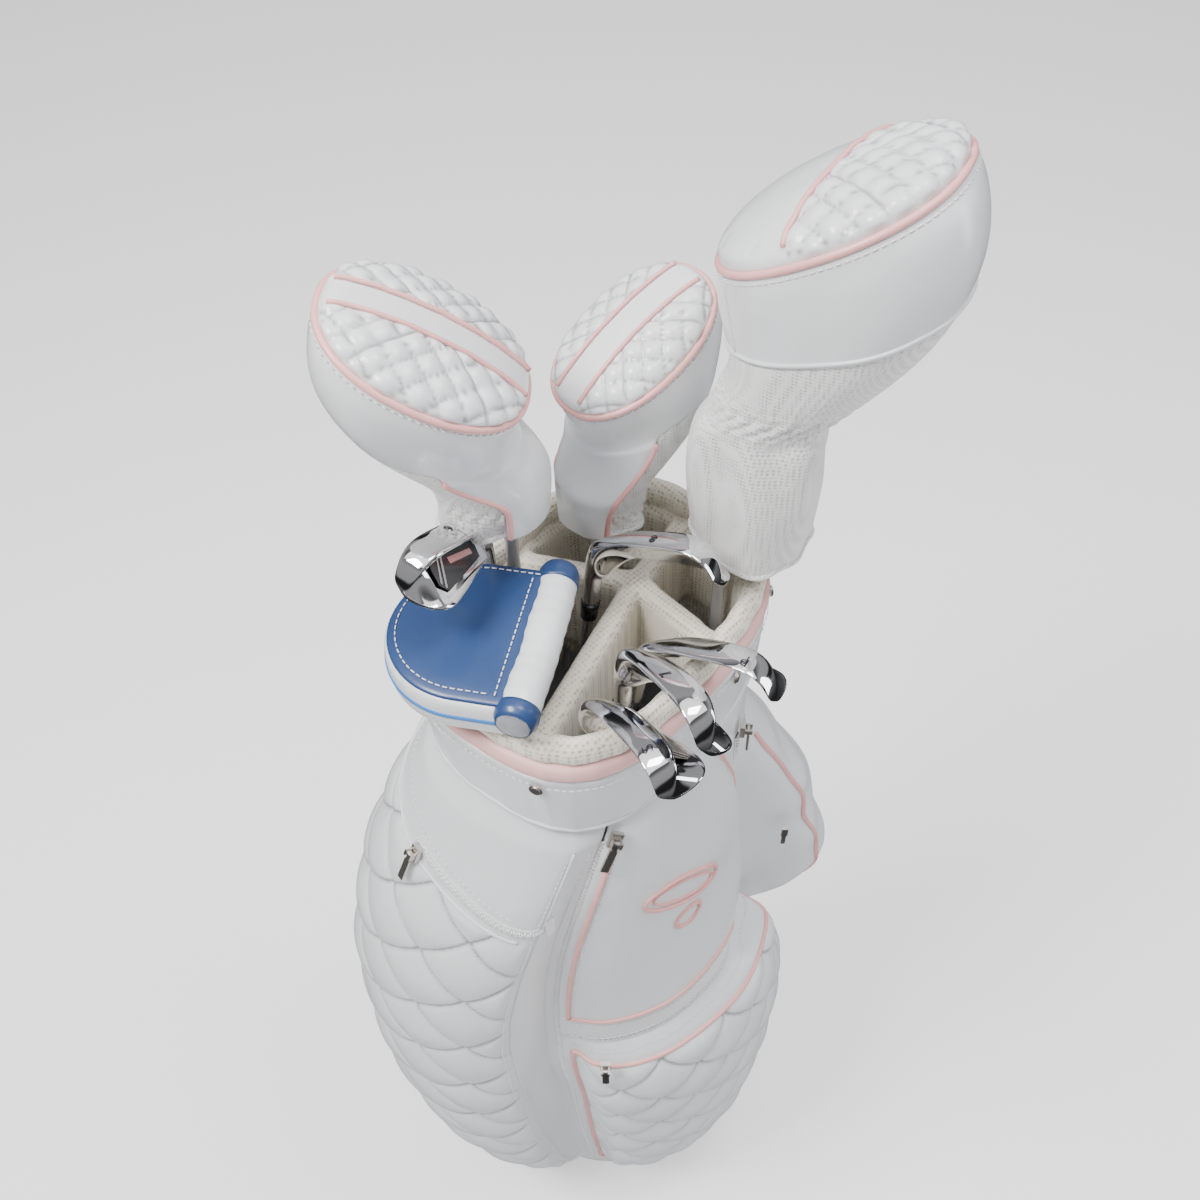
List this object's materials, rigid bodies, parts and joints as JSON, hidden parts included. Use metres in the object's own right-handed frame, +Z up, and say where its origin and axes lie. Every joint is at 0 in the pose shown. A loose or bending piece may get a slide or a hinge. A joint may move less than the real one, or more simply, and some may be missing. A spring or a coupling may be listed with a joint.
{
  "type": "golf club set",
  "caption": "Soft cart bag on a round moulded base holding woods and a putter under padded headcovers and chromed irons, all drawing out head up.",
  "frame": {"origin": "centre of the moulded base, on the floor", "axes": "+Z up, -Y is the bag's front with the two stacked pockets, +X is the side pouch's side"},
  "size_m": [0.4693, 0.3736, 1.22],
  "materials": {
    "bag_leather": "satin, soft grained",
    "pink_trim": "satin",
    "air_mesh": "fine dotted weave",
    "base_plastic": "matte",
    "nickel": "polished",
    "chromed_steel": "polished",
    "graphite": "gloss",
    "wood_head_paint": "gloss",
    "grip_rubber": "matte",
    "cover_cloth": "satin, padded",
    "putter_cloth": "satin, padded",
    "knit": "ribbed knit"
  },
  "bodies": {
    "bag": {"base_cup": "base_plastic", "stay_rods": "graphite", "main_tube": "bag_leather", "top_collar": "bag_leather", "rim_band": "pink_trim", "rim_pad": "air_mesh", "club_divider": "air_mesh", "upper_pocket": "bag_leather", "ball_pocket": "bag_leather", "left_pocket": "bag_leather", "side_pouch": "bag_leather", "zip_chains": "nickel", "carry_handle": "bag_leather", "hood_snaps": "nickel", "strap_rings": "nickel"},
    "strap": {"shoulder_strap": "bag_leather", "strap_hooks": "nickel"},
    "ball_zip": {"ball_zip_slider": "nickel"},
    "ball_tab": {"ball_zip_tab": "nickel"},
    "upper_zip": {"upper_zip_slider": "nickel"},
    "upper_tab": {"upper_zip_tab": "nickel"},
    "small_zip": {"small_zip_slider": "nickel"},
    "small_tab": {"small_zip_tab": "nickel"},
    "long_zip": {"long_zip_slider": "nickel"},
    "long_tab": {"long_zip_tab": "nickel"},
    "pouch_zip": {"pouch_zip_pull": "nickel"},
    "driver_club": {"driver_head": "wood_head_paint", "driver_shaft": "graphite", "driver_grip": "grip_rubber"},
    "fairway_club": {"fairway_head": "wood_head_paint", "fairway_shaft": "graphite", "fairway_grip": "grip_rubber"},
    "hybrid_club": {"hybrid_head": "wood_head_paint", "hybrid_shaft": "graphite", "hybrid_grip": "grip_rubber"},
    "putter_club": {"putter_head": "chromed_steel", "putter_shaft": "chromed_steel", "putter_grip": "grip_rubber"},
    "iron_7_club": {"iron_7_head": "chromed_steel", "iron_7_shaft": "chromed_steel", "iron_7_grip": "grip_rubber"},
    "iron_8_club": {"iron_8_head": "chromed_steel", "iron_8_shaft": "chromed_steel", "iron_8_grip": "grip_rubber"},
    "iron_9_club": {"iron_9_head": "chromed_steel", "iron_9_shaft": "chromed_steel", "iron_9_grip": "grip_rubber"},
    "iron_p_club": {"iron_p_head": "chromed_steel", "iron_p_shaft": "chromed_steel", "iron_p_grip": "grip_rubber"},
    "iron_s_club": {"iron_s_head": "chromed_steel", "iron_s_shaft": "chromed_steel", "iron_s_grip": "grip_rubber"},
    "driver_headcover": {"driver_cover": "cover_cloth", "driver_sock": "knit"},
    "fairway_headcover": {"fairway_cover": "cover_cloth", "fairway_sock": "knit"},
    "hybrid_headcover": {"hybrid_cover": "cover_cloth", "hybrid_sock": "knit"},
    "putter_headcover": {"putter_cover": "putter_cloth"}
  },
  "joints": [
    {"name": "strap_swing", "type": "hinge", "parent": "bag", "child": "strap", "pos_m": [0.09769, 0.1085, 0.485], "axis": [0, 0, 1], "range_deg": [-35, 60]},
    {"name": "ball_zip_run", "type": "hinge", "parent": "bag", "child": "ball_zip", "pos_m": [0, 0, 0.4655], "axis": [0, 0, 1], "range_deg": [0, 86]},
    {"name": "ball_tab_flip", "type": "hinge", "parent": "ball_zip", "child": "ball_tab", "pos_m": [-0.13135, -0.13135, 0.472], "axis": [-0.7071, 0.7071, 0], "range_deg": [0, 150]},
    {"name": "upper_zip_run", "type": "slide", "parent": "bag", "child": "upper_zip", "axis": [0, 0, -1], "range_m": [0, 0.18]},
    {"name": "upper_tab_flip", "type": "hinge", "parent": "upper_zip", "child": "upper_tab", "pos_m": [0.0747, -0.09391, 0.7445], "axis": [-0.7826, -0.6225, 0], "range_deg": [0, 150]},
    {"name": "small_zip_run", "type": "hinge", "parent": "bag", "child": "small_zip", "pos_m": [0, 0, 0.714], "axis": [0, 0, 1], "range_deg": [0, 38]},
    {"name": "small_tab_flip", "type": "hinge", "parent": "small_zip", "child": "small_tab", "pos_m": [-0.18082, 0.02541, 0.72115], "axis": [0.1392, 0.9903, 0], "range_deg": [0, 150]},
    {"name": "long_zip_run", "type": "hinge", "parent": "bag", "child": "long_zip", "pos_m": [0.56048, -0.13239, 0.38018], "axis": [-0.0351, -0.9992, 0.0197], "range_deg": [0, 48]},
    {"name": "long_tab_flip", "type": "hinge", "parent": "long_zip", "child": "long_tab", "pos_m": [-0.08673, -0.1043, 0.77648], "axis": [-0.6853, 0.5972, 0.4169], "range_deg": [0, 150]},
    {"name": "pouch_zip_run", "type": "slide", "parent": "bag", "child": "pouch_zip", "axis": [0, 0, -1], "range_m": [0, 0.09]},
    {"name": "driver_draw", "type": "slide", "parent": "bag", "child": "driver_club", "axis": [0.0185, 0.0081, 0.9998], "range_m": [0, 0.85]},
    {"name": "fairway_draw", "type": "slide", "parent": "bag", "child": "fairway_club", "axis": [-0.03, -0.0323, 0.999], "range_m": [0, 0.85]},
    {"name": "hybrid_draw", "type": "slide", "parent": "bag", "child": "hybrid_club", "axis": [0.0818, -0.0127, 0.9966], "range_m": [0, 0.85]},
    {"name": "putter_draw", "type": "slide", "parent": "bag", "child": "putter_club", "axis": [-0.0095, 0.0131, 0.9999], "range_m": [0, 0.003]},
    {"name": "iron_7_draw", "type": "slide", "parent": "bag", "child": "iron_7_club", "axis": [-0.0552, -0.0862, 0.9947], "range_m": [0, 0.82]},
    {"name": "iron_8_draw", "type": "slide", "parent": "bag", "child": "iron_8_club", "axis": [0.0598, -0.0771, 0.9952], "range_m": [0, 0.85]},
    {"name": "iron_9_draw", "type": "slide", "parent": "bag", "child": "iron_9_club", "axis": [-0.0292, 0.0536, 0.9981], "range_m": [0, 0.006]},
    {"name": "iron_p_draw", "type": "slide", "parent": "bag", "child": "iron_p_club", "axis": [0.0577, -0.1465, 0.9875], "range_m": [0, 0.85]},
    {"name": "iron_s_draw", "type": "slide", "parent": "bag", "child": "iron_s_club", "axis": [-0.0553, -0.0714, 0.9959], "range_m": [0, 0.85]},
    {"name": "driver_cover_off", "type": "slide", "parent": "driver_club", "child": "driver_headcover", "axis": [0.0185, 0.0081, 0.9998], "range_m": [0, 0.15], "deforming": ["driver_sock"]},
    {"name": "fairway_cover_off", "type": "slide", "parent": "fairway_club", "child": "fairway_headcover", "axis": [-0.03, -0.0323, 0.999], "range_m": [0, 0.15], "deforming": ["fairway_sock"]},
    {"name": "hybrid_cover_off", "type": "slide", "parent": "hybrid_club", "child": "hybrid_headcover", "axis": [0.0818, -0.0127, 0.9966], "range_m": [0, 0.15], "deforming": ["hybrid_sock"]},
    {"name": "putter_cover_off", "type": "slide", "parent": "putter_club", "child": "putter_headcover", "axis": [-0.0095, 0.0131, 0.9999], "range_m": [0, 0.003]}
  ]
}
